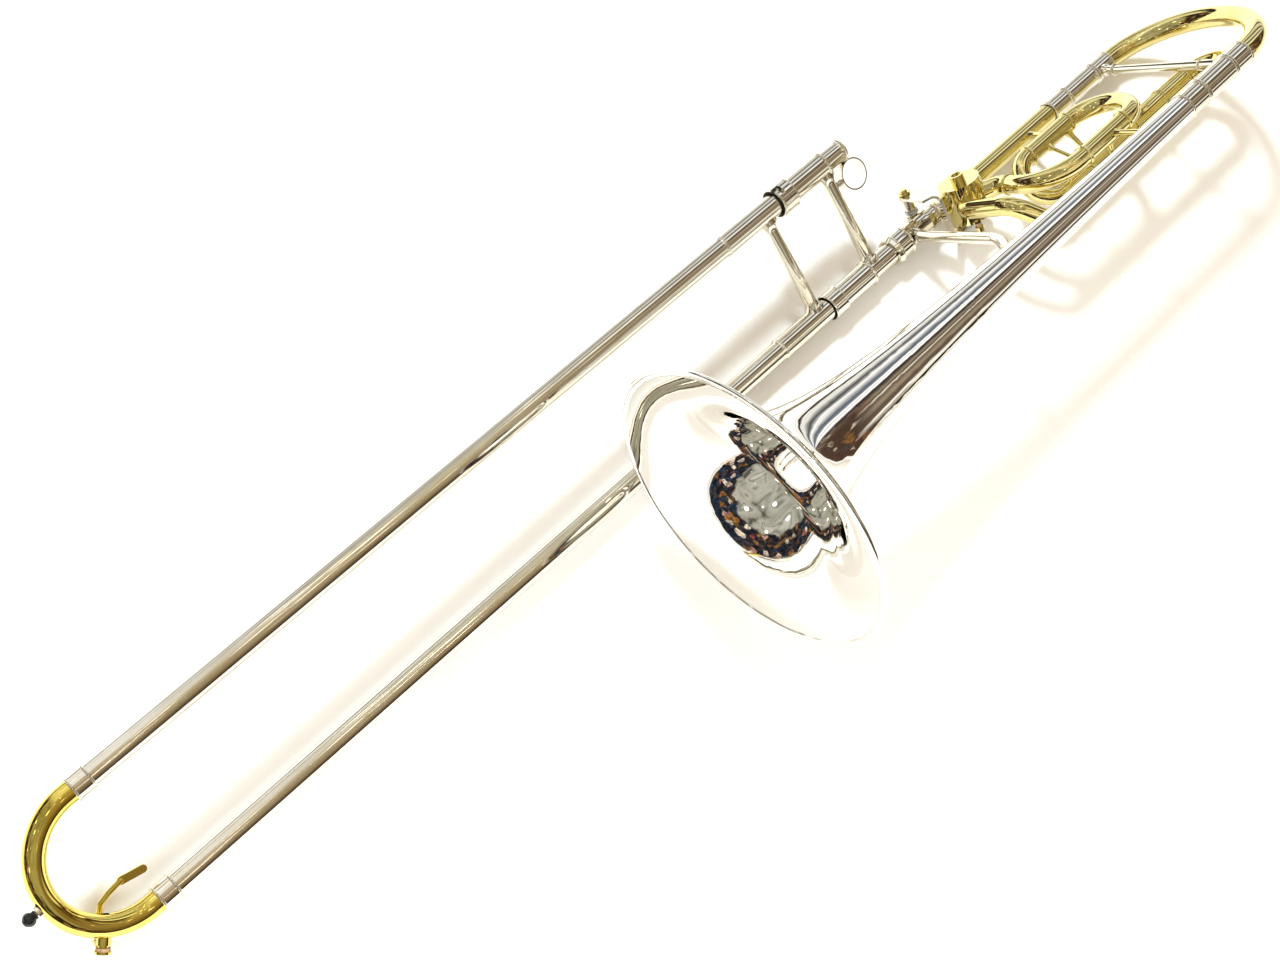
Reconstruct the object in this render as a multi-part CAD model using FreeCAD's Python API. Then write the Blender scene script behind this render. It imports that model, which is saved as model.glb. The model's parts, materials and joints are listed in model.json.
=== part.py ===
"""Tenor trombone with a rotary F valve: one STEP file per piece, millimetres, +Z up.

The instrument lies on its bell rim and on the foot of its valve. It is drawn in two flat sections that
share the X axis, the axis of the lower hand-slide leg and of the neck, with +X towards the slide bow:
  slide section  (x, y, z)  the two slide legs lie in y = 0, the lower at z = 0, the upper above it;
  bell section   (x, v, w)  neck, valve and bell lie in w = 0, the neck at v = 0, the bell at +v.
Each section is rolled about X and lifted, so that bell rim and valve casing stand on z = 0.
"""
import FreeCAD, Part
import math
import os

V = FreeCAD.Vector

# Driving dimensions: the two sections
LEG_GAP = 87.9               # slide legs, axis to axis
BELL_GAP = 129.5             # neck axis to bell axis
SECTION_ANGLE = 6.0          # bell plane leans this much past square to the slide plane

# Bell
RIM_X = 354.5
RIM_R = 110.0
BELL_WALL = 0.6
BELL_FLARE_POWER = 0.72      # radius falls as distance from the rim to this power
BELL_FLARE_OFFSET = 18.0
BELL_JOINT_X = 150.0         # brazed ring joint between spun flare and tapered stem
RIM_WIRE_R = 1.7

# Tuning legs: ring places along X, the same on both legs
RING_A = -132.0
RING_B = -154.0
RING_C = -190.0
RING_D = -211.0
NECK_LEG_R = 8.27
BELL_LEG_R = 9.67
LEG_WALL = 0.6
SLIDE_FIT = 0.08             # radial running clearance of a tuning leg in its sleeve
STOP_GAP = 0.4               # air left between parts that come to rest against each other

# Neck joint and neckpipe
NUT_X0 = 50.0
NUT_X1 = 67.0
NUT_R = 12.0
RECEIVER_R = 9.6
SOLDER_GAP = 0.12            # left for solder where a foot wraps a round tube

# Valve: the rotor axis runs along w
DIAGONAL = math.sqrt(0.5)
VALVE_X = -9.0
CASING_R = 16.5
ROTOR_R = 15.0
ROTOR_FIT = 0.05
CASING_LOW = -15.4           # closed end, on the side of the linkage
CASING_HIGH = 11.5           # open end, under the screw cap
PASSAGE_R = 5.6
VALVE_CAP_R = 16.3
VALVE_CAP_TOP = 15.5
VALVE_KNOB_TOP = 20.8
VALVE_KNOB_R = 5.3
KNUCKLE_BEND = 8.3
VALVE_V = 13.424             # puts the knuckles' bends, onto the neck line, just outside the casing
MAIN_IN_X = 13.0
MAIN_OUT_X = -42.0
F_PORT_REACH = CASING_R + 1.2

# Valve linkage under the casing: angles about w, from +x towards +v
ROTOR_TURN = -90.0
CRANK_ANGLE = 190.0
CRANK_REACH = 7.5
STOP_ANGLE = 164.6
STOP_REACH = 15.9
CORK_ANGLE = 19.1            # a cork's centre beyond the stop lobe's centre line
CORK_R = 2.4
LEVER_X = 30.0
LEVER_V = -3.0
LEVER_ARM = 28.0
LEVER_ANGLE = 150.0
LEVER_TOP = 28.0
PIN_R = 1.2
PIVOT_R = 2.2
LINK_EYE_FIT = 0.7           # play in the rotor eye of the link, the loop's open pivot
STRAP_TURN = 62.3            # the strap's width runs this way in the x-v plane
STRAP_FRONT = 9.5            # its valve side, measured square to that width
STRAP_SIDE = 27.0
STRAP_WIDTH = 12.0
STRAP_THICKNESS = 2.0
STRAP_LOW = -18.0
STRAP_BEND = 8.0

# F attachment tubing
F_TUBE_R = 7.3
F_WALL = 0.45
F_FRONT_V = (30.0, 85.0)     # the two runs of the front layer, w = 0
F_BACK = ((50.0, -30.0), (86.0, -27.0))   # (v, w) of the two runs of the back layer
F_FRONT_BOW_X = -119.0
F_LEFT_BOW_X = -66.0
F_SLEEVE_BAND_X = -200.0
F_SLEEVE_X0 = -160.0
F_SLEEVE_X1 = -233.0
F_LEG_R = 7.22

# Hand slide
INNER_R = 7.25
INNER_BORE_R = 6.95
STOCKING_R = 7.36
STOCKING_LENGTH = 80.0
OUTER_BORE_R = 7.45
OUTER_R = 7.75
INNER_END_X = 745.0
OUTER_START_X = 104.0
SLEEVE_END_X = 194.7
SLEEVE_R = 8.35
FERRULE_X0 = 749.3
FERRULE_X1 = 762.5
BOW_X = 766.7
BOW_TUBE_R = 7.3
BRACE_R = 5.0
INNER_BRACE_X = 86.5
OUTER_BRACE_X = 150.0
BARREL_R = 9.4
BARREL_BORE_R = 8.75
UPPER_BARREL_X = (84.5, 126.0)
LOWER_BARREL_X = (93.0, 140.0)
COLLAR_R = 10.8
MOUTH_RECESS = 2.2           # recess in each collar's mouth, lined with felt
MOUTH_RECESS_R = 9.8
LOCK_X = (121.5, 137.0)
LOCK_R = 12.1
LOCK_RECESS_R = 10.6
LOCK_TURN = 25.0
LOCK_STUD_X = 132.0
LOCK_STUD_R = 1.3
LOCK_STUD_ANGLE = 60.0       # from +y towards +z, seen along the leg
MOUTH_X = 63.8
MOUTH_BORE_R = 6.5
MOUTH_BORE_LENGTH = 20.5
LEADPIPE_END_X = 290.0
RING_X = 64.8                # finger ring
RING_Z = 68.0
RING_R = 12.0
RING_STRAP = 8.0

# Water key on the slide bow
KEY_ANGLE = 50.0             # below +X, about the bow's centre
KEY_PIVOT_Y = 10.2           # hinge, as drawn above the bow before it is turned under
KEY_NIPPLE_TOP = 5.2


# ---- Shape helpers ---------------------------------------------------------------------------

def outline(steps):
    """Closed face in the x-r half plane. A step is a point, or (mid, end) for an arc to end."""
    points = [V(steps[0][0], steps[0][1], 0)]
    edges = []
    for step in steps[1:] + [steps[0]]:
        if isinstance(step[0], tuple):
            middle = V(step[0][0], step[0][1], 0)
            end = V(step[1][0], step[1][1], 0)
            edges.append(Part.Arc(points[-1], middle, end).toShape())
        else:
            end = V(step[0], step[1], 0)
            edges.append(Part.LineSegment(points[-1], end).toShape())
        points.append(end)
    return Part.Face(Part.Wire(edges))


def turned(steps, at=(0.0, 0.0)):
    """Solid of revolution about the line parallel to X through (., at)."""
    solid = outline(steps).revolve(V(0, 0, 0), V(1, 0, 0), 360)
    solid.translate(V(0, at[0], at[1]))
    return solid


def tube(x0, x1, r_out, r_in, at=(0.0, 0.0)):
    """Straight round tube along X between x0 and x1."""
    low, high = min(x0, x1), max(x0, x1)
    return turned([(low, r_in), (low, r_out), (high, r_out), (high, r_in)], at)


def beaded(x0, x1, r_out, r_in, bead, at=(0.0, 0.0)):
    """Ferrule along X with a half-round bead at each end."""
    low, high = min(x0, x1), max(x0, x1)
    steps = [(low, r_in), (low, r_out),
             ((low + bead, r_out + bead), (low + 2 * bead, r_out)),
             (high - 2 * bead, r_out),
             ((high - bead, r_out + bead), (high, r_out)),
             (high, r_in)]
    return turned(steps, at)


def rod(start, end, radius, top_radius=None):
    """Round bar, or cone, between two points."""
    start, end = V(*start), V(*end)
    span = end - start
    if top_radius is None:
        return Part.makeCylinder(radius, span.Length, start, span)
    return Part.makeCone(radius, top_radius, span.Length, start, span)


def path(corners, radii):
    """Wire of straight runs through the corners, each inner corner rounded by a tangent arc."""
    corners = [V(*corner) for corner in corners]
    edges = []
    start = corners[0]
    for before, corner, after, radius in zip(corners, corners[1:], corners[2:], radii):
        to_start = (before - corner).normalize()
        to_end = (after - corner).normalize()
        half = to_start.getAngle(to_end) / 2
        setback = radius / math.tan(half)
        middle_way = (to_start + to_end).normalize()
        arc_start = corner + to_start * setback
        arc_end = corner + to_end * setback
        arc_middle = corner + middle_way * (radius / math.sin(half) - radius)
        edges.append(Part.LineSegment(start, arc_start).toShape())
        edges.append(Part.Arc(arc_start, arc_middle, arc_end).toShape())
        start = arc_end
    edges.append(Part.LineSegment(start, corners[-1]).toShape())
    return Part.Wire(edges)


def swept(wire, r_out, r_in=None):
    """Round bar or tube along a wire."""
    first = wire.Edges[0]
    start = first.valueAt(first.FirstParameter)
    heading = first.tangentAt(first.FirstParameter)

    def bar(radius):
        section = Part.Face(Part.Wire(Part.makeCircle(radius, start, heading)))
        return wire.makePipe(section)

    if r_in is None:
        return bar(r_out)
    return bar(r_out).cut(bar(r_in))


def half_bow(x, centre, radius, side, r_out, r_in, legs=0.0):
    """Half-turn bow about (x, centre), bulging along X by side, its ends parallel to X."""
    across, up = centre[0], centre[1]
    ends = V(0, side[1], side[2])
    a = V(x, across, up) - ends * radius
    b = V(x, across, up) + ends * radius
    crown = V(x + side[0] * radius, across, up)
    out = V(-side[0] * legs, 0, 0)
    edges = [Part.Arc(a, crown, b).toShape()]
    if legs:
        edges.insert(0, Part.LineSegment(a + out, a).toShape())
        edges.append(Part.LineSegment(b, b + out).toShape())
    return swept(Part.Wire(edges), r_out, r_in)


def fused(shapes):
    """One solid from touching or overlapping shapes."""
    shapes = list(shapes)
    return shapes[0].multiFuse(shapes[1:]).removeSplitter()


def group(shapes):
    """Separate solids kept in one node."""
    return Part.makeCompound(list(shapes))


def bell_radius(x):
    """Outer radius of the bell at x."""
    distance = RIM_X - x + BELL_FLARE_OFFSET
    return RIM_R * (BELL_FLARE_OFFSET / distance) ** BELL_FLARE_POWER


# ---- Bell section: (x, v, w) -------------------------------------------------------------------

def bell_wall(stations, wall=BELL_WALL):
    """Thin turned shell through bell stations, smooth inside and outside."""
    outside = [V(x, r, 0) for x, r in stations]
    slopes = []
    for i, point in enumerate(outside):
        back = outside[max(i - 1, 0)]
        ahead = outside[min(i + 1, len(outside) - 1)]
        tangent = (ahead - back).normalize()
        slopes.append(V(tangent.y, -tangent.x, 0))
    inside = [point + slope * wall for point, slope in zip(outside, slopes)]
    inside[0].x = outside[0].x
    outer = Part.BSplineCurve()
    outer.interpolate(outside)
    inner = Part.BSplineCurve()
    inner.interpolate(inside)
    ends = [Part.LineSegment(outside[-1], inside[-1]), Part.LineSegment(inside[0], outside[0])]
    edges = [outer.toShape(), ends[0].toShape(), inner.toShape(), ends[1].toShape()]
    face = Part.Face(Part.Wire(Part.__sortEdges__(edges)))
    solid = face.revolve(V(0, 0, 0), V(1, 0, 0), 360)
    solid.translate(V(0, BELL_GAP, 0))
    return solid


def bell_parts():
    """Spun flare, rolled rim wire and tapered stem, brazed end to end."""
    flare_x = [RIM_X - 1.2 - (RIM_X - 1.2 - BELL_JOINT_X) * (i / 16) ** 2.2 for i in range(17)]
    flare_x.reverse()
    stem_x = [RING_A + (BELL_JOINT_X - RING_A) * i / 8 for i in range(9)]
    wire = Part.makeTorus(RIM_R - RIM_WIRE_R, RIM_WIRE_R, V(RIM_X - RIM_WIRE_R, BELL_GAP, 0), V(1, 0, 0))
    return {
        "bell_flare": bell_wall([(x, bell_radius(x)) for x in flare_x]),
        "bell_rim_wire": wire,
        "bell_stem": bell_wall([(x, bell_radius(x)) for x in stem_x]),
    }


def tuning_leg_parts():
    """The fixed half of the main tuning slide: a beaded ferrule and a sleeve on each leg."""
    legs = ((0.0, NECK_LEG_R), (BELL_GAP, BELL_LEG_R))
    ferrules = []
    sleeves = []
    for v, leg_r in legs:
        bore = leg_r + SLIDE_FIT
        ferrules.append(beaded(RING_B, RING_A, bore + 0.5, bore, 0.9, (v, 0)))
        sleeves.append(beaded(RING_C, RING_B, bore + LEG_WALL, bore, 0.9, (v, 0)))
    neck_tube = tube(MAIN_OUT_X, RING_A, NECK_LEG_R - 0.4, NECK_LEG_R - 1.0)
    return {
        "tuning_leg_ferrules": group(ferrules),
        "tuning_slide_sleeves": group(sleeves),
        "neck_leg_tube": neck_tube,
    }


def main_tuning_slide_parts():
    """The half of the main tuning slide that pulls out: two legs, ferrules, bow and cross brace."""
    start = RING_C - STOP_GAP
    legs = []
    ferrules = []
    for v, leg_r in ((0.0, NECK_LEG_R), (BELL_GAP, BELL_LEG_R)):
        legs.append(tube(start - 14, RING_A - 4, leg_r, leg_r - LEG_WALL, (v, 0)))
        ferrules.append(beaded(RING_D, start, leg_r + 0.65, leg_r, 0.9, (v, 0)))
    radius = BELL_GAP / 2
    return {
        "tuning_inner_legs": group(legs),
        "tuning_bow_ferrules": group(ferrules),
        "main_tuning_bow": tapered_bow(RING_D, radius, NECK_LEG_R - 0.2, BELL_LEG_R - 0.2),
        "tuning_slide_brace": tuning_brace(start - 7.5),
    }


def tapered_bow(x, radius, r_neck, r_bell):
    """Half-turn bow whose bore widens from the neck leg to the bell leg."""
    stations = 13

    def body(shrink):
        rings = []
        for i in range(stations):
            turn = math.pi * i / (stations - 1)
            centre = V(x - radius * math.sin(turn), radius - radius * math.cos(turn), 0)
            heading = V(-math.cos(turn), math.sin(turn), 0)
            r = r_neck + (r_bell - r_neck) * i / (stations - 1) - shrink
            rings.append(Part.Wire(Part.makeCircle(r, centre, heading)))
        return Part.makeLoft(rings, True, False)

    return body(0).cut(body(LEG_WALL))


def tuning_brace(x):
    """Cross brace of the tuning slide, a slim tube with a turned foot at each leg."""
    low = NECK_LEG_R + 0.65
    high = BELL_GAP - BELL_LEG_R - 0.65
    bar = turned([(low - 0.5, 0), (low - 0.5, 5.2), (low + 2, 5.2), (low + 4, 3.8),
                  (17, 3.8), ((18, 4.8), (19, 3.4)), (100, 3.4), ((101, 4.8), (102, 3.8)),
                  (high - 4, 3.8), (high - 2, 5.2), (high + 0.5, 5.2), (high + 0.5, 0)])
    bar.Placement = FreeCAD.Placement(V(x, 0, 0), FreeCAD.Rotation(V(0, 0, 1), 90))
    bar = bar.cut(rod((x - 20, 0, 0), (x + 20, 0, 0), low))
    return bar.cut(rod((x - 20, BELL_GAP, 0), (x + 20, BELL_GAP, 0), BELL_LEG_R + 0.65))


def neck_parts():
    """Socket for the hand slide, the neckpipe, and the brace across to the bell."""
    socket = turned([(20, 7.2), (20, 8.5), (26, RECEIVER_R), (46, RECEIVER_R), (47, 10.2),
                     (58, 10.2), (58, 8.3), (37, 8.3), (37, 7.2)])
    neckpipe = turned([(MAIN_IN_X, 7.0), (MAIN_IN_X, 8.1), ((MAIN_IN_X + 1, 9.3), (MAIN_IN_X + 2, 8.1)),
                       (20, 8.1), (20, 7.0)])
    return {"slide_socket": socket, "neckpipe": neckpipe, "bell_brace": bell_brace()}


def bell_brace():
    """Tube from the socket to the bell stem, curved forward at the bell end, with footed ends."""
    x = 44.5
    up = 1.0
    foot_x = 66.0
    end = V(foot_x, BELL_GAP - 8, up)
    bend = V(x, 92, up)
    bar = swept(path([(x, 8, up), tuple(bend), tuple(end)], [26]), 4.4)
    foot = rod((x, 6, up), (x, 13, up), 7.2, 4.6)
    lean = (end - bend).normalize()
    seat_foot = Part.makeCone(4.6, 7.5, 8, end - lean * 10, lean)
    brace = fused([bar, foot, seat_foot])
    brace = brace.cut(rod((0, 0, 0), (46, 0, 0), RECEIVER_R + SOLDER_GAP))
    brace = brace.cut(rod((45.8, 0, 0), (60, 0, 0), 12.5))
    stem = rod((20, BELL_GAP, 0), (100, BELL_GAP, 0), bell_radius(20), bell_radius(100))
    return brace.cut(stem)


# ---- Valve ---------------------------------------------------------------------------------------

def on_valve(reach, angle, w=0.0):
    """Point at a reach and an angle (degrees, +x towards +v) from the rotor axis."""
    turn = math.radians(angle)
    return (VALVE_X + reach * math.cos(turn), VALVE_V + reach * math.sin(turn), w)


def valve_cylinder(radius, low, high):
    """Cylinder on the rotor axis."""
    return rod(on_valve(0, 0, low), on_valve(0, 0, high), radius)


def knuckles():
    """The four short tubes brazed to the casing: two to the neck line, two to the F tubing."""
    shapes = []
    for side, end_x in ((1, MAIN_IN_X), (-1, MAIN_OUT_X)):
        start = (VALVE_X + side * (CASING_R - 2) * DIAGONAL, VALVE_V - (CASING_R - 2) * DIAGONAL, 0)
        corner_x = start[0] + side * start[1]
        wire = path([start, (corner_x, 0, 0), (end_x, 0, 0)], [KNUCKLE_BEND])
        shapes.append(swept(wire, 8.0, 7.0))
    for angle in (45, 135):
        wire = Part.Wire(Part.LineSegment(V(*on_valve(CASING_R - 2, angle)),
                                          V(*on_valve(F_PORT_REACH, angle))).toShape())
        shapes.append(swept(wire, F_TUBE_R + 0.5, F_TUBE_R - F_WALL))
    inside = valve_cylinder(CASING_R, -30, 30)
    return group([shape.cut(inside) for shape in shapes])


def port_holes():
    """Round bars through the casing wall at the four ports."""
    return [rod(on_valve(8, angle), on_valve(CASING_R + 5, angle), PASSAGE_R + 0.4)
            for angle in (45, 135, 225, 315)]


def stop_post(angle):
    """Headed post that carries a cork at one end of the stop arm's travel."""
    levels = (CASING_LOW + 0.5, CASING_LOW - 3.4, CASING_LOW - 7.2)
    foot, neck, head = [on_valve(STOP_REACH, angle, w) for w in levels]
    return fused([rod(foot, neck, 1.4), rod(neck, head, 3.2)])


def valve_parts():
    """Casing with its closed foot and stop posts, bearing plate, screw cap and corks."""
    shell = valve_cylinder(CASING_R, CASING_LOW, CASING_HIGH)
    shell = shell.cut(valve_cylinder(ROTOR_R + ROTOR_FIT, CASING_LOW + 3.0, CASING_HIGH + 1))
    shell = shell.cut(valve_cylinder(3.05, CASING_LOW - 1, 0))
    for hole in port_holes():
        shell = shell.cut(hole)
    shelf = valve_cylinder(STOP_REACH + 2.6, CASING_LOW, CASING_LOW + 1.6)
    plate = valve_cylinder(ROTOR_R - 0.1, CASING_HIGH - 2.6, CASING_HIGH)
    plate = plate.cut(valve_cylinder(3.05, 8, 12))
    cap = valve_cylinder(VALVE_CAP_R, CASING_HIGH, VALVE_CAP_TOP)
    cap = cap.cut(valve_cylinder(ROTOR_R - 1.5, CASING_HIGH, CASING_HIGH + 2.4))
    cap = fused([cap, valve_cylinder(VALVE_KNOB_R, VALVE_CAP_TOP, VALVE_KNOB_TOP)])
    corks = []
    for angle in (STOP_ANGLE + CORK_ANGLE, STOP_ANGLE + ROTOR_TURN - CORK_ANGLE):
        seat = rod(on_valve(STOP_REACH, angle, CASING_LOW),
                   on_valve(STOP_REACH, angle, CASING_LOW + 1.6), 3.6)
        shell = shell.fuse(seat.common(shelf)).fuse(stop_post(angle))
        cork = rod(on_valve(STOP_REACH, angle, CASING_LOW),
                   on_valve(STOP_REACH, angle, CASING_LOW - 3.4), CORK_R)
        corks.append(cork.cut(stop_post(angle)))
    return {
        "valve_casing": shell,
        "valve_knuckles": knuckles(),
        "rotor_bearing_plate": plate,
        "valve_cap": cap.cut(valve_cylinder(VALVE_KNOB_R - 1.7, VALVE_KNOB_TOP - 1.5, VALVE_KNOB_TOP)),
        "stop_corks": group(corks),
    }


def rotor_parts():
    """Rotor with two quarter-turn passages, its stop arm, and the screw that holds the arm."""
    low = CASING_LOW - 0.6
    under = low - 2.4
    body = valve_cylinder(ROTOR_R, CASING_LOW + 3.5, CASING_HIGH - 3.1)
    body = body.fuse(valve_cylinder(3.0, low - 0.4, CASING_HIGH - 0.4))
    reach = ROTOR_R * math.sqrt(2)
    for side in (90, 270):
        centre = V(*on_valve(reach, side))
        ring = Part.makeTorus(ROTOR_R, PASSAGE_R, centre, V(0, 0, 1))
        body = body.cut(ring)
    hub = valve_cylinder(5.5, under, low)
    lobe = sector_arm(STOP_ANGLE, STOP_REACH + 1.0, 2.5, under, low)
    crank = sector_arm(CRANK_ANGLE, CRANK_REACH, 3.2, under, low)
    eye = [on_valve(CRANK_REACH, CRANK_ANGLE, w) for w in (low, under, under - 4.2)]
    crank = fused([crank, rod(eye[0], eye[1], 3.2), rod(eye[0], eye[2], PIN_R)])
    arm = fused([hub, lobe, crank]).cut(valve_cylinder(3.0, low - 0.4, low))
    screw = fused([valve_cylinder(3.4, under - 1.8, under), valve_cylinder(1.4, under, low - 0.4)])
    arm = arm.cut(valve_cylinder(1.4, under, low - 0.4))
    return {"rotor": body, "stop_arm": arm, "stop_arm_screw": screw}


def sector_arm(angle, reach, half_width, low, high):
    """Flat straight arm out from the rotor axis."""
    bar = Part.makeBox(reach, 2 * half_width, high - low, V(0, -half_width, low))
    bar.rotate(V(0, 0, 0), V(0, 0, 1), angle)
    bar.translate(V(VALVE_X, VALVE_V, 0))
    return bar


def link_rod():
    """Rod from the lever's arm to the rotor's crank, with an eye at each end."""
    low = CASING_LOW - 7.2
    start = V(*lever_point(LEVER_ARM, LEVER_ANGLE, low))
    end = V(*on_valve(CRANK_REACH, CRANK_ANGLE, low))
    eye_r = PIN_R + LINK_EYE_FIT
    span = end - start
    bar = Part.makeBox(span.Length, 3.2, 2.0, V(0, -1.6, 0))
    bar.rotate(V(0, 0, 0), V(0, 0, 1), math.degrees(math.atan2(span.y, span.x)))
    bar.translate(start)
    body = fused([Part.makeCylinder(3.0, 2.0, start), Part.makeCylinder(eye_r + 1.5, 2.0, end), bar])
    body = body.cut(Part.makeCylinder(PIN_R + 0.08, 2.0, start))
    return body.cut(Part.makeCylinder(eye_r, 2.0, end))


def lever_point(reach, angle, w):
    """Point at a reach and an angle from the lever's pivot."""
    turn = math.radians(angle)
    return (LEVER_X + reach * math.cos(turn), LEVER_V + reach * math.sin(turn), w)


def thumb_lever():
    """Hub, a strap bent down beside the valve, and at its foot the arm that drives the link."""
    hub = Part.makeCylinder(4.2, LEVER_TOP - 11.2, V(LEVER_X, LEVER_V, 11.2))
    arm_end = V(*lever_point(LEVER_ARM, LEVER_ANGLE, STRAP_LOW))
    across, ahead = strap_directions()
    root = ahead * (STRAP_FRONT + STRAP_THICKNESS / 2) + across * (STRAP_SIDE + STRAP_WIDTH / 2)
    span = V(root.x - arm_end.x, root.y - arm_end.y, 0)
    arm = Part.makeBox(span.Length + 3, 6.0, 2.2, V(0, -3.0, 0))
    arm.rotate(V(0, 0, 0), V(0, 0, 1), math.degrees(math.atan2(span.y, span.x)))
    arm.translate(arm_end)
    pin = Part.makeCylinder(PIN_R, 5.0, arm_end - V(0, 0, 4.6))
    boss = Part.makeCylinder(3.0, 2.2, arm_end)
    lever = fused([hub, arm, boss, pin, thumb_strap()])
    return lever.cut(Part.makeCylinder(PIVOT_R + 0.07, 24, V(LEVER_X, LEVER_V, 10)))


def strap_directions():
    """Unit vectors in the x-v plane: along the strap's width, and square to it."""
    turn = math.radians(STRAP_TURN)
    across = V(math.cos(turn), math.sin(turn), 0)
    return across, V(across.y, -across.x, 0)


def thumb_strap():
    """Sheet-metal strap: level over the neckpipe, round a bend, then down beside the valve."""
    across, ahead = strap_directions()
    top = LEVER_TOP
    bend = STRAP_BEND
    t = STRAP_THICKNESS
    front = STRAP_FRONT
    turn_out = bend * (1 - DIAGONAL)
    turn_in = (bend - t) * (1 - DIAGONAL)
    corners = [V(front + 24, top, 0), V(front + bend, top, 0), V(front, top - bend, 0), V(front, STRAP_LOW, 0),
               V(front + t, STRAP_LOW, 0), V(front + t, top - bend, 0), V(front + bend, top - t, 0),
               V(front + 24, top - t, 0)]
    bends = {1: V(front + turn_out, top - turn_out, 0), 5: V(front + t + turn_in, top - t - turn_in, 0)}
    edges = []
    for i, (a, b) in enumerate(zip(corners, corners[1:] + corners[:1])):
        curve = Part.Arc(a, bends[i], b) if i in bends else Part.LineSegment(a, b)
        edges.append(curve.toShape())
    strap = Part.Face(Part.Wire(edges)).extrude(V(0, 0, -STRAP_WIDTH - 24))
    frame = FreeCAD.Matrix(ahead.x, 0, -across.x, 0, ahead.y, 0, -across.y, 0, 0, 1, 0, 0, 0, 0, 0, 1)
    strap.Placement = FreeCAD.Placement(frame)
    strap.translate(across * (STRAP_SIDE - 24))
    near = V(LEVER_X, LEVER_V, 0)
    hub_side = Part.makeCylinder(6.5, 80, V(near.x, near.y, -40))
    leaf = [near + ahead * 6.3, near - ahead * 6.3,
            ahead * (front - 2) + across * STRAP_SIDE,
            ahead * (front - 2) + across * (STRAP_SIDE + STRAP_WIDTH),
            ahead * (front + 14) + across * (STRAP_SIDE + STRAP_WIDTH)]
    plan = Part.Face(Part.makePolygon([V(c.x, c.y, -40) for c in leaf + leaf[:1]]))
    return strap.common(plan.extrude(V(0, 0, 80)).fuse(hub_side))


def lever_parts():
    """Thumb lever, the saddle and post it turns on, its screw and its return spring."""
    foot = Part.makeBox(14, 10, 6, V(LEVER_X - 7, LEVER_V - 4, 4.5))
    socket = rod((0, 0, 0), (60, 0, 0), RECEIVER_R + SOLDER_GAP)
    post = Part.makeCylinder(PIVOT_R, LEVER_TOP - 8.7, V(LEVER_X, LEVER_V, 9))
    screw = fused([Part.makeCylinder(4.4, 1.4, V(LEVER_X, LEVER_V, LEVER_TOP + 0.3)),
                   Part.makeCylinder(3.0, 2.4, V(LEVER_X, LEVER_V, LEVER_TOP + 1.7))])
    coils = [Part.makeTorus(4.9, 0.45, V(LEVER_X, LEVER_V, w), V(0, 0, 1)) for w in (12.5, 13.4, 14.3)]
    return {
        "lever_saddle": fused([foot, post]).cut(socket),
        "lever_screw": screw,
        "lever_spring": group(coils),
        "thumb_lever": thumb_lever(),
    }


# ---- F attachment --------------------------------------------------------------------------------

def f_tubing_parts():
    """The fixed loop of the F attachment, from one valve port round to the other."""
    front_low, front_high = F_FRONT_V
    bore = F_TUBE_R - F_WALL
    port_a = on_valve(F_PORT_REACH, 135)
    port_b = on_valve(F_PORT_REACH, 45)
    corner_a = on_valve(F_PORT_REACH + 9.5, 135)
    corner_b = on_valve(F_PORT_REACH + 4.0, 45)
    back_v, back_w = F_BACK[1]
    s_tube = path([port_a, corner_a, (corner_a[0], front_high, 0), (F_FRONT_BOW_X, front_high, 0)], [14, 34])
    down_tube = path([port_b, corner_b, (0, 67, 0), (-18, back_v, back_w), (F_SLEEVE_X0, back_v, back_w)],
                     [7.5, 18, 18])
    middle = (front_low + front_high) / 2
    lean = V(0, F_BACK[0][0] - front_low, F_BACK[0][1])
    bow_r = lean.Length / 2
    lean.normalize()
    left_centre = ((front_low + F_BACK[0][0]) / 2, F_BACK[0][1] / 2)
    return {
        "f_s_tube": swept(s_tube, F_TUBE_R, bore),
        "f_front_bow": half_bow(F_FRONT_BOW_X, (middle, 0), (front_high - front_low) / 2, (-1, 1, 0),
                                F_TUBE_R, bore),
        "f_front_run": tube(F_FRONT_BOW_X, F_LEFT_BOW_X, F_TUBE_R, bore, (front_low, 0)),
        "f_left_bow": half_bow(F_LEFT_BOW_X, left_centre, bow_r, (1, lean.y, lean.z), F_TUBE_R, bore),
        "f_back_run": tube(F_SLEEVE_X0, F_LEFT_BOW_X, F_TUBE_R, bore, F_BACK[0]),
        "f_down_tube": swept(down_tube, F_TUBE_R, bore),
        "f_slide_sleeves": group([f_sleeve(at) for at in F_BACK]),
        "f_rings": f_rings(),
        "f_braces": f_braces(),
    }


def f_sleeve(at):
    """Fixed sleeve of the F tuning slide, beaded at its ends and banded in the middle."""
    bore = F_LEG_R + SLIDE_FIT
    sleeve = beaded(F_SLEEVE_X1, F_SLEEVE_X0, bore + 0.5, bore, 0.9, at)
    band = [(F_SLEEVE_BAND_X - 2, bore + 0.3), (F_SLEEVE_BAND_X - 2, bore + 0.5),
            ((F_SLEEVE_BAND_X - 1, bore + 1.4), (F_SLEEVE_BAND_X, bore + 0.5)),
            ((F_SLEEVE_BAND_X + 1, bore + 1.4), (F_SLEEVE_BAND_X + 2, bore + 0.5)),
            (F_SLEEVE_BAND_X + 2, bore + 0.3)]
    return sleeve.fuse(turned(band, at))


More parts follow.
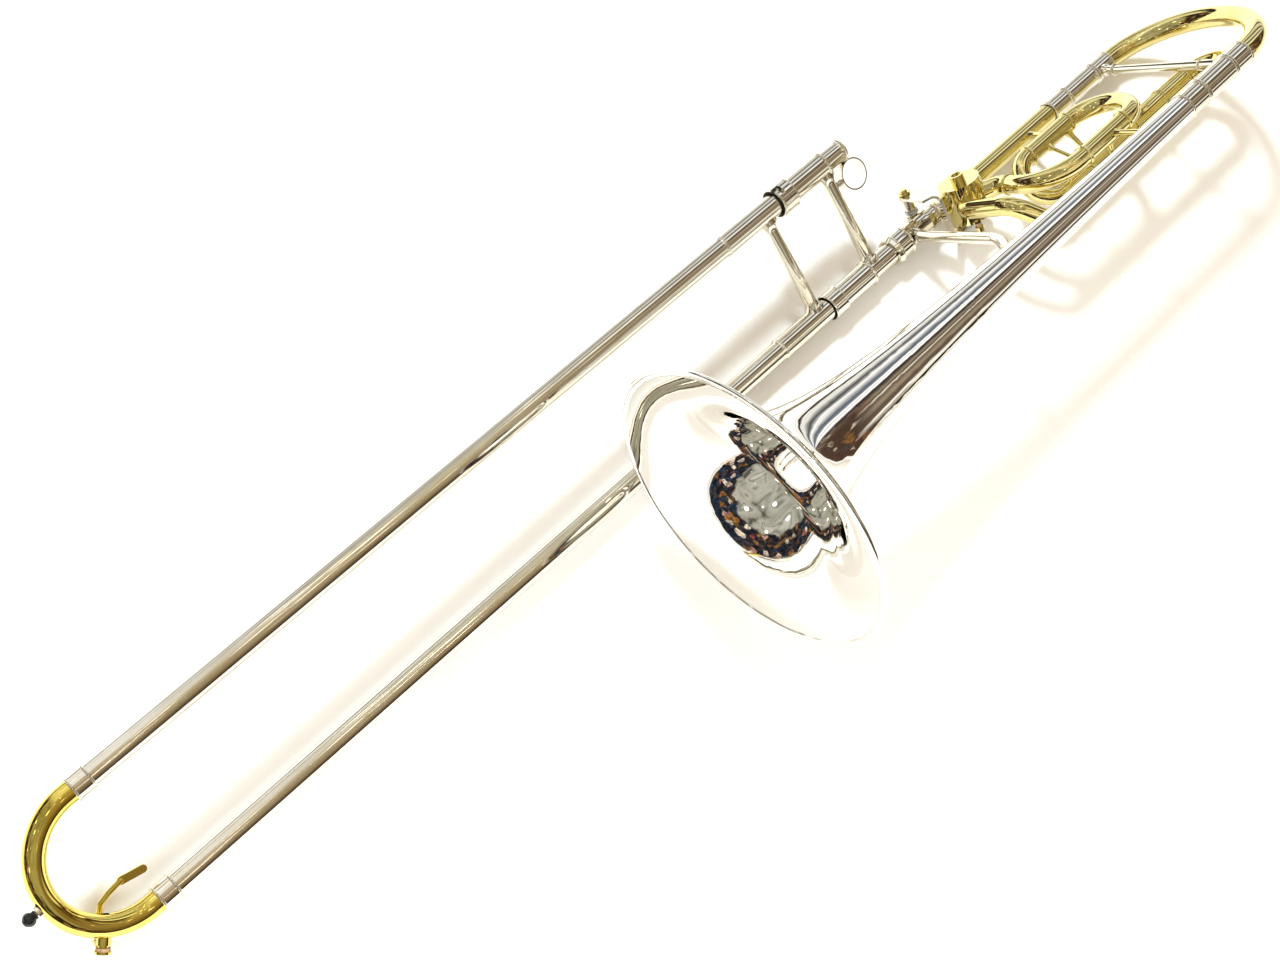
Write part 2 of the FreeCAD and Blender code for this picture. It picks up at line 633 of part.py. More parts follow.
def f_rings():
    """Half-round bands over the brazed joints of the F tubing."""
    low, high = F_FRONT_V
    front, left = F_FRONT_BOW_X + 1.8, F_LEFT_BOW_X - 1.8
    along = [(front, low, 0), (front, high, 0), (left, low, 0), (left, *F_BACK[0]), (left, high, 0)]
    bands = []
    for x, v, w in along:
        steps = [(x - 1.6, F_TUBE_R), ((x, F_TUBE_R + 1.3), (x + 1.6, F_TUBE_R))]
        bands.append(turned(steps, (v, w)))
    port_x = on_valve(F_PORT_REACH + 9.5, 135)[0]
    ring = Part.makeTorus(F_TUBE_R + 0.1, 1.1, V(port_x, 42, 0), V(0, 1, 0))
    bands.append(ring.cut(rod((port_x, 36, 0), (port_x, 48, 0), F_TUBE_R)))
    return group(bands)


def strut(start, end, radius, foot=3.6):
    """Small round brace with a conical foot at each end."""
    start, end = V(*start), V(*end)
    way = (end - start).normalize()
    return fused([rod(start, end, radius), rod(start, start + way * 5, foot, radius),
                  rod(end, end - way * 5, foot, radius)])


def f_braces():
    """Small braces that hold the F tubing to the neck leg, to itself and to the bell stem."""
    low, high = F_FRONT_V
    back_low, back_high = F_BACK
    stem_r = bell_radius(-100)
    runs = [((-100, 0, 0), (-100, low, 0), 2.6, NECK_LEG_R - 0.4, F_TUBE_R),
            ((-86, low, 0), (-86, *back_high), 1.6, F_TUBE_R, F_TUBE_R),
            ((-100, high, 0), (-100, BELL_GAP, 0), 2.6, F_TUBE_R, stem_r),
            ((-112, low, 0), (-112, *back_low), 2.2, F_TUBE_R, F_TUBE_R),
            ((-95, high, 0), (-95, *back_high), 2.2, F_TUBE_R, F_TUBE_R)]
    struts = []
    for start, end, radius, start_r, end_r in runs:
        way = (V(*end) - V(*start)).normalize()
        bar = strut(V(*start) + way * (start_r - 1), V(*end) - way * (end_r - 1), radius)
        for (x, v, w), r in ((start, start_r), (end, end_r)):
            bar = bar.cut(rod((x - 12, v, w), (x + 12, v, w), r))
        struts.append(bar)
    return group(struts)


def f_slide_parts():
    """The F tuning slide: two legs, their ferrules and the bow."""
    start = F_SLEEVE_X1 - STOP_GAP
    legs = [tube(start - 7, F_SLEEVE_X0 - 8, F_LEG_R, F_LEG_R - F_WALL, at) for at in F_BACK]
    collars = [beaded(start - 7, start, F_LEG_R + 0.5, F_LEG_R, 0.9, at) for at in F_BACK]
    (low_v, low_w), (high_v, high_w) = F_BACK
    lean = V(0, high_v - low_v, high_w - low_w)
    radius = lean.Length / 2
    lean.normalize()
    centre = ((low_v + high_v) / 2, (low_w + high_w) / 2)
    bow = half_bow(start - 7, centre, radius, (-1, lean.y, lean.z), F_TUBE_R, F_TUBE_R - F_WALL)
    return {"f_slide_legs": group(legs), "f_slide_ferrules": group(collars), "f_slide_bow": bow}


# ---- Slide section: (x, y, z) --------------------------------------------------------------------

LEGS = (0.0, LEG_GAP)


def inner_slide_parts():
    """The half of the hand slide that stays with the bell: tubes, barrels, tenon and brace."""
    stocking_x = INNER_END_X - STOCKING_LENGTH
    tubes = []
    for z, start in ((0.0, 72.0), (LEG_GAP, MOUTH_X + MOUTH_BORE_LENGTH)):
        tubes.append(turned([(start, INNER_BORE_R), (start, INNER_R), (stocking_x - 1.5, INNER_R),
                             (stocking_x, STOCKING_R), (INNER_END_X - 1, STOCKING_R),
                             (INNER_END_X, INNER_R), (INNER_END_X, INNER_BORE_R)], (0, z)))
    barrels = [lower_barrel(), upper_barrel()]
    corks = [tube(front - 8.0, front, BARREL_BORE_R - 0.05, INNER_R + 0.05, (0, z))
             for z, front in ((0.0, OUTER_START_X - STOP_GAP), (LEG_GAP, OUTER_START_X - STOP_GAP))]
    tenon = turned([(40, INNER_BORE_R), (40, 8.0), (41, 8.22), (58.4, 8.22), (58.4, 9.9), (61.4, 9.9),
                    (61.4, 8.2), (LOWER_BARREL_X[0], 8.2), (LOWER_BARREL_X[0], INNER_R),
                    (72.0, INNER_R), (72.0, INNER_BORE_R)])
    return {
        "inner_slide_tubes": group(tubes),
        "cork_barrels": group(barrels),
        "barrel_corks": group(corks),
        "slide_tenon": tenon,
        "mouthpiece_receiver": mouthpiece_receiver(),
        "leadpipe": tube(MOUTH_X + MOUTH_BORE_LENGTH + 0.5, LEADPIPE_END_X, 6.9, 6.35, (0, LEG_GAP)),
        "inner_brace": inner_brace(),
        "finger_ring": finger_ring(),
    }


def lower_barrel():
    """Cork barrel of the lower leg, with its plain front collar."""
    start, end = LOWER_BARREL_X
    front = end - 13.5
    return turned([(start, INNER_R), (start, 9.6), ((start + 1, 10.6), (start + 2, 9.6)),
                   (start + 2.2, BARREL_R),
                   (front - 0.2, BARREL_R), (front, 10.2), ((front + 0.8, COLLAR_R), (front + 1.6, 10.5)),
                   (end - 1.6, 10.5), ((end - 0.8, COLLAR_R), (end, 10.3)), (end, MOUTH_RECESS_R),
                   (end - MOUTH_RECESS, MOUTH_RECESS_R), (end - MOUTH_RECESS, BARREL_BORE_R),
                   (start + 2, BARREL_BORE_R), (start + 2, INNER_R)])


def upper_barrel():
    """Cork barrel of the upper leg, with a retaining bead for the lock collar."""
    start, end = UPPER_BARREL_X
    groove = LOCK_X[0] + 1.5
    return turned([(start, INNER_R), (start, 9.6), ((start + 1, 10.6), (start + 2, 9.6)),
                   (start + 2.2, BARREL_R),
                   (groove, BARREL_R), (groove + 0.4, 9.9), (groove + 1.4, 9.9), (groove + 1.8, BARREL_R),
                   (end, BARREL_R), (end, BARREL_BORE_R), (start + 2, BARREL_BORE_R), (start + 2, INNER_R)],
                  (0, LEG_GAP))


def slide_lock():
    """Bayonet collar turning on the upper barrel: a straight way in, then a turn to lock."""
    start, end = LOCK_X
    groove = start + 1.3
    collar = turned([(start, 9.7), (start, LOCK_R - 0.7),
                     ((start + 0.8, LOCK_R), (start + 1.6, LOCK_R - 0.3)), (end - 1.6, LOCK_R - 0.3),
                     ((end - 0.8, LOCK_R), (end, LOCK_R - 0.7)), (end, LOCK_RECESS_R),
                     (end - MOUTH_RECESS, LOCK_RECESS_R), (end - MOUTH_RECESS, BARREL_BORE_R + 0.05),
                     (UPPER_BARREL_X[1] + 0.3, BARREL_BORE_R + 0.05), (UPPER_BARREL_X[1] + 0.3, 9.7),
                     (groove + 2.3, 9.7), (groove + 2.3, 10.2), (groove, 10.2), (groove, 9.7)], (0, LEG_GAP))
    width = 2 * LOCK_STUD_R + 1.0
    angle = LOCK_STUD_ANGLE
    way_in = Part.makeBox(end - LOCK_STUD_X + 6, 8, width, V(LOCK_STUD_X - width / 2, 6, -width / 2))
    way_in.rotate(V(0, 0, 0), V(1, 0, 0), angle)
    half = math.degrees(width / 2 / COLLAR_R)
    ring = Part.makeCylinder(14, width, V(0, 0, -width / 2), V(0, 0, 1), LOCK_TURN + 2 * half)
    ring.rotate(V(0, 0, 0), V(0, 1, 0), 90)
    ring.rotate(V(0, 0, 0), V(1, 0, 0), angle + 90 - LOCK_TURN - half)
    ring.translate(V(LOCK_STUD_X, 0, 0))
    for cut in (way_in, ring):
        cut.translate(V(0, 0, LEG_GAP))
        collar = collar.cut(cut)
    return collar


def mouthpiece_receiver():
    """Socket for the mouthpiece shank at the head of the upper leg."""
    seat = MOUTH_X + MOUTH_BORE_LENGTH
    return turned([(MOUTH_X, MOUTH_BORE_R), (MOUTH_X, 8.3), ((MOUTH_X + 1.2, 9.3), (MOUTH_X + 2.4, 8.2)),
                   (MOUTH_X + 4, 7.8), (UPPER_BARREL_X[0], 8.2), (UPPER_BARREL_X[0], INNER_R),
                   (seat, INNER_R), (seat, MOUTH_BORE_R)], (0, LEG_GAP))


def brace_between(x, low_r, high_r, mid_r):
    """Hand brace across the slide, waisted, with a saddle that wraps each leg."""
    low, high = low_r, LEG_GAP - high_r
    bar = turned([(low - 3, 0), (low - 3, 7.4), (low, 7.4), ((low + 2.4, 5.8), (low + 5, mid_r)),
                  (high - 5, mid_r), ((high - 2.4, 5.8), (high, 7.4)), (high + 3, 7.4), (high + 3, 0)])
    bar.Placement = FreeCAD.Placement(V(x, 0, 0), FreeCAD.Rotation(V(0, 1, 0), -90))
    return bar


def leg_bar(x0, x1, radius, z):
    """Solid round bar on a slide leg, to cut its shape from what sits on it."""
    return rod((x0, 0, z), (x1, 0, z), radius)


def inner_brace():
    """Brace of the inner slide, from the tenon tube to the upper barrel."""
    bar = brace_between(INNER_BRACE_X, 8.2, BARREL_R, BRACE_R)
    cuts = [leg_bar(40, LOWER_BARREL_X[0], 8.2, 0), leg_bar(LOWER_BARREL_X[0], 130, 10.7, 0),
            leg_bar(UPPER_BARREL_X[0], 130, BARREL_R, LEG_GAP), leg_bar(UPPER_BARREL_X[0], 87, 10.7, LEG_GAP),
            leg_bar(60, UPPER_BARREL_X[0], 8.3, LEG_GAP)]
    for cut in cuts:
        bar = bar.cut(cut)
    return bar


def finger_ring():
    """Strap ring for the finger, under the receiver and soldered to the inner brace by a foot."""
    centre = V(RING_X, 0, RING_Z)
    back = V(0, RING_STRAP / 2, 0)
    outer = Part.makeCylinder(RING_R, RING_STRAP, centre - back, V(0, 1, 0))
    hole = Part.makeCylinder(RING_R - 1.1, 2 * RING_STRAP, centre - back * 2, V(0, 1, 0))
    foot = rod((RING_X + RING_R - 1.5, 0, RING_Z), (INNER_BRACE_X, 0, RING_Z), 2.6)
    bar = Part.makeCylinder(BRACE_R, LEG_GAP, V(INNER_BRACE_X, 0, 0))
    ring = fused([outer, foot.cut(bar)]).cut(hole)
    ring = ring.cut(leg_bar(MOUTH_X - 0.2, MOUTH_X + 2.6, 9.3 + SOLDER_GAP, LEG_GAP))
    return ring.cut(leg_bar(MOUTH_X, UPPER_BARREL_X[0], 8.2 + SOLDER_GAP, LEG_GAP))


def neck_nut():
    """Lock nut: turns on the slide tenon and draws its collar onto the socket."""
    return turned([(NUT_X0, 10.5), (NUT_X0, 11.4), ((NUT_X0 + 1, NUT_R), (NUT_X0 + 2, 11.4)),
                   (NUT_X1 - 5, 11.4), ((NUT_X1 - 4, NUT_R), (NUT_X1 - 3, 11.4)), (NUT_X1, 10.4),
                   (NUT_X1, 8.5), (61.9, 8.5), (61.9, 10.5)])


def hand_slide_parts():
    """The half of the hand slide that the player moves: tubes, sleeves, brace, bow and bumper."""
    tube_end = FERRULE_X0 + 6.5
    tubes = [tube(OUTER_START_X, tube_end, OUTER_R, OUTER_BORE_R, (0, z)) for z in LEGS]
    sleeves = [grip_sleeve(z) for z in LEGS]
    stud_from = V(LOCK_STUD_X, 0, LEG_GAP)
    turn = math.radians(LOCK_STUD_ANGLE)
    out = V(0, math.cos(turn), math.sin(turn))
    stud = Part.makeCylinder(LOCK_STUD_R, 10.6 - SLEEVE_R + 0.5, stud_from + out * (SLEEVE_R - 0.5), out)
    sleeves[1] = sleeves[1].fuse(stud)
    ferrules = [beaded(FERRULE_X0, FERRULE_X1, 8.5, BOW_TUBE_R, 0.8, (0, z)) for z in LEGS]
    ferrules = [ferrule.cut(leg_bar(FERRULE_X0 - 1, tube_end, OUTER_R, z))
                for ferrule, z in zip(ferrules, LEGS)]
    brace = brace_between(OUTER_BRACE_X, SLEEVE_R, SLEEVE_R, BRACE_R)
    for z in LEGS:
        brace = brace.cut(leg_bar(90, 200, SLEEVE_R, z))
    bow = half_bow(BOW_X, (0, LEG_GAP / 2), LEG_GAP / 2, (1, 0, -1), BOW_TUBE_R, BOW_TUBE_R - 0.5,
                   BOW_X - tube_end - 0.1)
    parts = {
        "outer_slide_tubes": group(tubes),
        "grip_sleeves": group(sleeves),
        "outer_brace": brace,
        "bow_ferrules": group(ferrules),
        "slide_bow": bow.cut(key_bar(2.2, 30, 60)),
    }
    parts.update(bumper_parts())
    parts.update(water_key_parts())
    return parts


def grip_sleeve(z):
    """Sleeve over the head of an outer slide tube, with an end ring at its front."""
    end = SLEEVE_END_X
    return turned([(OUTER_START_X, OUTER_R), (OUTER_START_X, SLEEVE_R), (end - 3, SLEEVE_R),
                   ((end - 2.2, SLEEVE_R + 0.5), (end - 1.4, SLEEVE_R)), (end - 0.4, 8.1), (end, OUTER_R)],
                  (0, z))


def bumper_parts():
    """Rubber tip on the crown of the slide bow and the cup that holds it."""
    crown = BOW_X + LEG_GAP / 2 + BOW_TUBE_R
    at = (0, LEG_GAP / 2)
    cup = turned([(crown - 1.5, 0), (crown - 1.5, 4.4), (crown + 1.2, 4.4), (crown + 1.9, 3.8),
                  (crown + 1.9, 3.0), (crown + 0.8, 3.0), (crown + 0.8, 0)], at)
    bow = Part.makeTorus(LEG_GAP / 2, BOW_TUBE_R, V(BOW_X, 0, LEG_GAP / 2), V(0, 1, 0))
    rubber = turned([(crown + 0.8, 0), (crown + 0.8, 3.0), (crown + 3.4, 2.8),
                     ((crown + 6.6, 4.4), (crown + 9.4, 3.0)), ((crown + 10.4, 1.9), (crown + 10.8, 0.7)),
                     (crown + 10.8, 0)], at)
    return {"bumper_cup": cup.cut(bow), "rubber_bumper": rubber}


def key_point(reach, y):
    """Point on the water key's radial line: reach from the bow's centre, y above its plane."""
    turn = math.radians(KEY_ANGLE)
    return (BOW_X + reach * math.cos(turn), y, LEG_GAP / 2 - reach * math.sin(turn))


def key_bar(radius, low, high):
    """Round bar along the water key's radial line."""
    return rod(key_point(low, 0), key_point(high, 0), radius)


def key_axis():
    """Direction of the water key's hinge, along the bow."""
    turn = math.radians(KEY_ANGLE)
    return V(math.sin(turn), 0, math.cos(turn))


def water_key_parts():
    """Water hole nipple, hinge saddle, and the sprung key with its cork."""
    ring = LEG_GAP / 2
    bow = Part.makeTorus(ring, BOW_TUBE_R, V(BOW_X, 0, ring), V(0, 1, 0))
    seat = ring + BOW_TUBE_R
    nipple = key_bar(4.4, seat - 3, seat + KEY_NIPPLE_TOP - 1.5)
    nipple = nipple.fuse(key_bar(3.3, seat, seat + KEY_NIPPLE_TOP)).cut(bow).cut(key_bar(2.2, 30, 70))
    axis = key_axis()
    pivot = V(*key_point(ring, KEY_PIVOT_Y))
    posts = []
    for side in (-1, 1):
        ear = Part.makeBox(5, KEY_PIVOT_Y - 2.5, 1.4, V(-2.5, 2.5, -0.7))
        ear = ear.fuse(Part.makeCylinder(2.5, 1.4, V(0, KEY_PIVOT_Y, -0.7)))
        posts.append(key_frame(ear, side * 6.0).cut(bow))
    pin = Part.makeCylinder(1.1, 13.4, pivot - axis * 6.7, axis)
    saddle = fused([pin] + posts)
    hub = Part.makeCylinder(2.3, 6.4, pivot - axis * 3.2, axis)
    lever = fused([hub, key_cup(seat), key_tab()])
    lever = lever.cut(Part.makeCylinder(1.18, 20, pivot - axis * 10, axis))
    cork = key_bar(4.3, seat + KEY_NIPPLE_TOP + 0.15, seat + KEY_NIPPLE_TOP + 2.2)
    coils = [Part.makeTorus(2.0, 0.35, pivot + axis * s, axis) for s in (-4.6, -3.9, 3.9, 4.6)]
    return {"water_nipple": nipple, "water_key_saddle": under(saddle), "water_key": under(lever),
            "water_key_cork": cork, "water_key_spring": under(group(coils))}


def under(shape):
    """Shape drawn above the plane of the slide, turned over to its place below."""
    return shape.mirror(V(0, 0, 0), V(0, 1, 0))


def key_frame(shape, along):
    """Move a shape drawn with x radial, y up and z along the hinge to the water key."""
    turn = math.radians(KEY_ANGLE)
    axis = key_axis()
    foot = V(*key_point(LEG_GAP / 2, 0)) + axis * along
    matrix = FreeCAD.Matrix(math.cos(turn), 0, axis.x, foot.x, 0, 1, 0, foot.y,
                            -math.sin(turn), 0, axis.z, foot.z, 0, 0, 0, 1)
    shape.Placement = FreeCAD.Placement(matrix)
    return shape


def key_cup(seat):
    """Arched arm from the hinge out over the bow, ending in the cup that holds the cork."""
    base = seat - LEG_GAP / 2
    top = base + KEY_NIPPLE_TOP + 2.2
    arm = [(0, KEY_PIVOT_Y + 2.2), (top - 3, KEY_PIVOT_Y + 2.2), (top + 1.4, KEY_PIVOT_Y - 4),
           (top + 1.4, -3), (top, -3), (top, KEY_PIVOT_Y - 5), (top - 3.6, KEY_PIVOT_Y), (0, KEY_PIVOT_Y)]
    face = Part.Face(Part.makePolygon([V(x, y, -2.2) for x, y in arm + arm[:1]]))
    bar = key_frame(face.extrude(V(0, 0, 4.4)), 0)
    plate = key_bar(5.0, seat + KEY_NIPPLE_TOP + 2.2, seat + KEY_NIPPLE_TOP + 3.6)
    return bar.fuse(plate)


def key_tab():
    """Thumb tab of the water key: an S bend inside the bow, ending in a flat paddle."""
    root = V(*key_point(LEG_GAP / 2, KEY_PIVOT_Y + 1.1))
    bends = [root, V(788.5, 10.5, 18.1), V(780.8, 8.8, 20.8), V(771, 8.2, 22)]
    shapes = [paddle(bends[-1], V(757.2, 8.2, 18.6), 2.6, 1.8)]
    for start, end in zip(bends, bends[1:]):
        shapes.append(Part.makeCylinder(1.8, (end - start).Length, start, end - start))
        shapes.append(Part.makeSphere(1.8, end))
    return fused(shapes)


def paddle(start, tip, half, thick):
    """Flat bar with round ends, centred on the line from start to tip."""
    across = (tip - start).normalize().cross(V(0, 1, 0)) * half
    back = V(0, -thick / 2, 0)
    corners = [start + across, tip + across, tip - across, start - across, start + across]
    face = Part.Face(Part.makePolygon([corner + back for corner in corners]))
    discs = [Part.makeCylinder(half, thick, point + back, V(0, 1, 0)) for point in (start, tip)]
    return fused([face.extrude(V(0, thick, 0))] + discs)


# ---- Placing and writing ---------------------------------------------------------------------------

def rest_roll():
    """Roll of the bell plane above level, and lift, that stand bell rim and valve foot on z = 0."""
    along = BELL_GAP - (VALVE_V - CASING_R)
    depth = -CASING_LOW
    lean = math.acos(RIM_R / math.hypot(along, depth)) + math.atan2(depth, along)
    lift = depth * math.sin(lean) - (VALVE_V - CASING_R) * math.cos(lean)
    return 90 - math.degrees(lean), lift


def placed(parts, roll, lift):
    """Parts rolled about X and lifted to their resting height."""
    turn = FreeCAD.Rotation(V(1, 0, 0), roll)
    out = {}
    for name, shape in parts.items():
        shape = shape.copy()
        shape.Placement = FreeCAD.Placement(V(0, 0, lift), turn).multiply(shape.Placement)
        out[name] = shape
    return out


def build():
    """All nodes in the row frame, and the shift that was applied to centre them."""
    bell = {}
    for section in (bell_parts, tuning_leg_parts, main_tuning_slide_parts, neck_parts, valve_parts,
                    rotor_parts, lever_parts, f_tubing_parts, f_slide_parts):
        bell.update(section())
    bell["link_rod"] = link_rod()
    slide = {"neck_nut": neck_nut(), "slide_lock": slide_lock()}
    slide.update(inner_slide_parts())
    slide.update(hand_slide_parts())
    roll, lift = rest_roll()
    nodes = placed(bell, roll, lift)
    nodes.update(placed(slide, roll + SECTION_ANGLE, lift))
    box = FreeCAD.BoundBox()
    for shape in nodes.values():
        box.add(shape.optimalBoundingBox(False))
    shift = V(-box.Center.x, -box.Center.y, 0)
    for shape in nodes.values():
        shape.translate(shift)
    return nodes, (roll, lift, shift, box)


def main():
    """Write one STEP file per node."""
    os.makedirs("parts", exist_ok=True)
    nodes, (roll, lift, shift, box) = build()
    for name, shape in nodes.items():
        shape.exportStep(f"parts/{name}.step")
    print(f"{len(nodes)} nodes, roll {roll:.3f} deg, lift {lift:.3f} mm, shift {shift.x:.3f} {shift.y:.3f}")
    print(f"box {box.XLength:.1f} x {box.YLength:.1f} x {box.ZLength:.1f} mm, lowest z {box.ZMin:.3f}")


main()
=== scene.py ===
"""Looks of the trombone: camera, studio, polished metals, and the felt that the CAD leaves out."""
import bpy
import json
import math
from mathutils import Matrix, Vector


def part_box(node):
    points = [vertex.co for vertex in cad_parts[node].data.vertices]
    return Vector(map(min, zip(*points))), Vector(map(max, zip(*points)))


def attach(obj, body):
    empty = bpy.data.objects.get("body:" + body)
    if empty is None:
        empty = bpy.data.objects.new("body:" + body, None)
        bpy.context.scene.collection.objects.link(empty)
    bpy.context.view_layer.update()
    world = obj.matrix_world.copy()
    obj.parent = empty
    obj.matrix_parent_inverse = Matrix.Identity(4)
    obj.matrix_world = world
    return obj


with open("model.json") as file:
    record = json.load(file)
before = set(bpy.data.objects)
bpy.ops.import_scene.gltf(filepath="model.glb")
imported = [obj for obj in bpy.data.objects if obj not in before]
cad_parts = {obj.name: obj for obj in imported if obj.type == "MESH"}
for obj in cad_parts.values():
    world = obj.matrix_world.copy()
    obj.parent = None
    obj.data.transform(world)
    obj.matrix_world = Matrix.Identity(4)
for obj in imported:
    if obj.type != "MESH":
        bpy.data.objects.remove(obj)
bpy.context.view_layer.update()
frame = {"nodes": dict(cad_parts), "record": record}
nodes = frame["nodes"]

BLACK = (0.0, 0.0, 0.0)
WHITE = (1.0, 1.0, 1.0)


# ---- Node helpers --------------------------------------------------------------------------------

class Graph:
    """Adds and links shader nodes. An input is a number, a vector, a colour or another node's output."""

    def __init__(self, tree):
        self.tree = tree

    def link(self, output, socket):
        self.tree.links.new(output, socket)

    def feed(self, socket, value):
        """Link an output to the socket, or set the socket's own value."""
        if isinstance(value, bpy.types.NodeSocket):
            self.link(value, socket)
        else:
            socket.default_value = value

    def add(self, kind, **inputs):
        """New node, its inputs named as on the node, with _ for a space."""
        node = self.tree.nodes.new(kind)
        for name, value in inputs.items():
            self.feed(node.inputs[name.replace("_", " ")], value)
        return node

    def noise(self, place, scale, **more):
        """Value of a noise texture at the place."""
        return self.add("ShaderNodeTexNoise", Vector=place, Scale=scale, **more).outputs["Fac"]

    def math(self, operation, a, b):
        node = self.tree.nodes.new("ShaderNodeMath")
        node.operation = operation
        self.feed(node.inputs[0], a)
        self.feed(node.inputs[1], b)
        return node.outputs[0]

    def ramp(self, factor, stops):
        """Colour ramp through the stops, each a position and a colour."""
        node = self.tree.nodes.new("ShaderNodeValToRGB")
        elements = node.color_ramp.elements
        while len(elements) < len(stops):
            elements.new(1.0)
        for element, (position, color) in zip(elements, stops):
            element.position = position
            element.color = (*color, 1.0)
        self.link(factor, node.inputs[0])
        return node.outputs[0]

    def rise(self, factor, start, end):
        """0 up to start, 1 from end on."""
        return self.ramp(factor, [(start, BLACK), (end, WHITE)])

    def mix(self, factor, a, b, blend="MIX"):
        """Mix of two colours: a where the factor is 0, b where it is 1."""
        node = self.tree.nodes.new("ShaderNodeMix")
        node.data_type = "RGBA"
        node.blend_type = blend
        mix_factor, color_a, color_b = (node.inputs[index] for index in (0, 6, 7))
        self.feed(mix_factor, factor)
        for socket, color in ((color_a, a), (color_b, b)):
            self.feed(socket, (*color, 1.0) if isinstance(color, tuple) else color)
        return node.outputs[2]


def new_material(name):
    """Material with a Principled shader, and the object coordinates that its patterns use."""
    material = bpy.data.materials.new(name)
    material.use_nodes = True
    material.node_tree.nodes.clear()
    graph = Graph(material.node_tree)
    output = graph.add("ShaderNodeOutputMaterial")
    shader = graph.add("ShaderNodeBsdfPrincipled")
    graph.link(shader.outputs[0], output.inputs[0])
    place = graph.add("ShaderNodeTexCoord").outputs["Object"]
    return material, graph, shader, place


# ---- Materials -----------------------------------------------------------------------------------

TARNISH_UP_TO = 0.35                # cloud noise below which the tarnish is full
BRIGHT_FROM = 0.70                  # and above which the metal is fully bright
HAIRLINES = (3.0, 900.0, 900.0)     # noise cells per metre along and across the tubes
HAZE_SCALE = 45.0
BEST_POLISH = 0.6                   # times the metal's roughness
WORST_POLISH = 1.7
HAIRLINE_BUMP = 0.002
HAIRLINE_DEPTH = 0.0004
PIT_DEPTH = 0.0006
LACQUER_ROUGHNESS = 0.04
LACQUER_IOR = 1.5


def metal(name, bright, tarnish, roughness, cloud=18.0, lacquer=0.0):
    """Polished metal: cloudy tone, uneven polish and hairlines that run along the part."""
    material, graph, shader, place = new_material(name)
    clouds = graph.noise(place, cloud, Detail=4.0, Roughness=0.6)
    tone = graph.ramp(clouds, [(TARNISH_UP_TO, tarnish), (BRIGHT_FROM, bright)])
    graph.link(tone, shader.inputs["Base Color"])
    shader.inputs["Metallic"].default_value = 1.0

    stretched = graph.add("ShaderNodeMapping", Vector=place, Scale=HAIRLINES).outputs[0]
    hair = graph.noise(stretched, 1.0, Detail=3.0, Roughness=0.7)
    haze = graph.noise(place, HAZE_SCALE, Detail=5.0)
    wear = graph.math("ADD", graph.math("MULTIPLY", hair, 0.5), graph.math("MULTIPLY", haze, 0.5))
    polish = graph.add("ShaderNodeMapRange", Value=wear, From_Min=0.35, From_Max=0.7,
                       To_Min=roughness * BEST_POLISH, To_Max=roughness * WORST_POLISH)
    graph.link(polish.outputs[0], shader.inputs["Roughness"])
    relief = graph.add("ShaderNodeBump", Height=hair, Strength=HAIRLINE_BUMP, Distance=HAIRLINE_DEPTH)
    graph.link(relief.outputs[0], shader.inputs["Normal"])
    if lacquer:
        shader.inputs["Coat Weight"].default_value = lacquer
        shader.inputs["Coat Roughness"].default_value = LACQUER_ROUGHNESS
        shader.inputs["Coat IOR"].default_value = LACQUER_IOR
    return material


def dull(name, dark, light, scale, roughness, bump):
    """Cork, felt or rubber: mottled colour and a pitted surface."""
    material, graph, shader, place = new_material(name)
    mottle = graph.noise(place, scale, Detail=6.0, Roughness=0.7)
    cells = graph.add("ShaderNodeTexVoronoi", Vector=place, Scale=scale * 0.7)
    color = graph.ramp(mottle, [(0.3, dark), (0.7, light)])
    grains = graph.ramp(cells.outputs["Distance"], [(0.0, dark), (0.6, light)])
    graph.link(graph.mix(0.35, color, grains), shader.inputs["Base Color"])
    rough = graph.add("ShaderNodeMapRange", Value=mottle, To_Min=roughness - 0.12, To_Max=roughness + 0.1)
    graph.link(rough.outputs[0], shader.inputs["Roughness"])
    relief = graph.add("ShaderNodeBump", Height=mottle, Strength=bump, Distance=PIT_DEPTH)
    graph.link(relief.outputs[0], shader.inputs["Normal"])
    return material


SILVER = metal("silver_plate", (0.95, 0.935, 0.90), (0.90, 0.87, 0.81), 0.03, cloud=9.0)
NICKEL = metal("nickel_silver", (0.85, 0.81, 0.72), (0.77, 0.71, 0.58), 0.06, cloud=30.0)
CHROME = metal("chromed_tube", (0.80, 0.82, 0.85), (0.70, 0.72, 0.76), 0.05)
BRASS = metal("lacquered_brass", (0.84, 0.73, 0.34), (0.72, 0.60, 0.22), 0.04, cloud=25.0, lacquer=0.5)
GOLD_BRASS = metal("gold_lacquer", (0.84, 0.67, 0.16), (0.70, 0.52, 0.08), 0.04, cloud=25.0, lacquer=0.5)
BARE_BRASS = metal("bare_brass", (0.72, 0.55, 0.26), (0.50, 0.36, 0.16), 0.22, cloud=40.0)
STEEL = metal("spring_steel", (0.62, 0.62, 0.63), (0.45, 0.44, 0.43), 0.18)
CORK = dull("cork", (0.23, 0.13, 0.06), (0.60, 0.42, 0.24), 700.0, 0.85, 0.5)
FELT = dull("dark_felt", (0.010, 0.009, 0.009), (0.05, 0.045, 0.04), 1500.0, 0.95, 0.6)
RUBBER = dull("black_rubber", (0.003, 0.003, 0.0035), (0.010, 0.010, 0.011), 900.0, 0.22, 0.06)

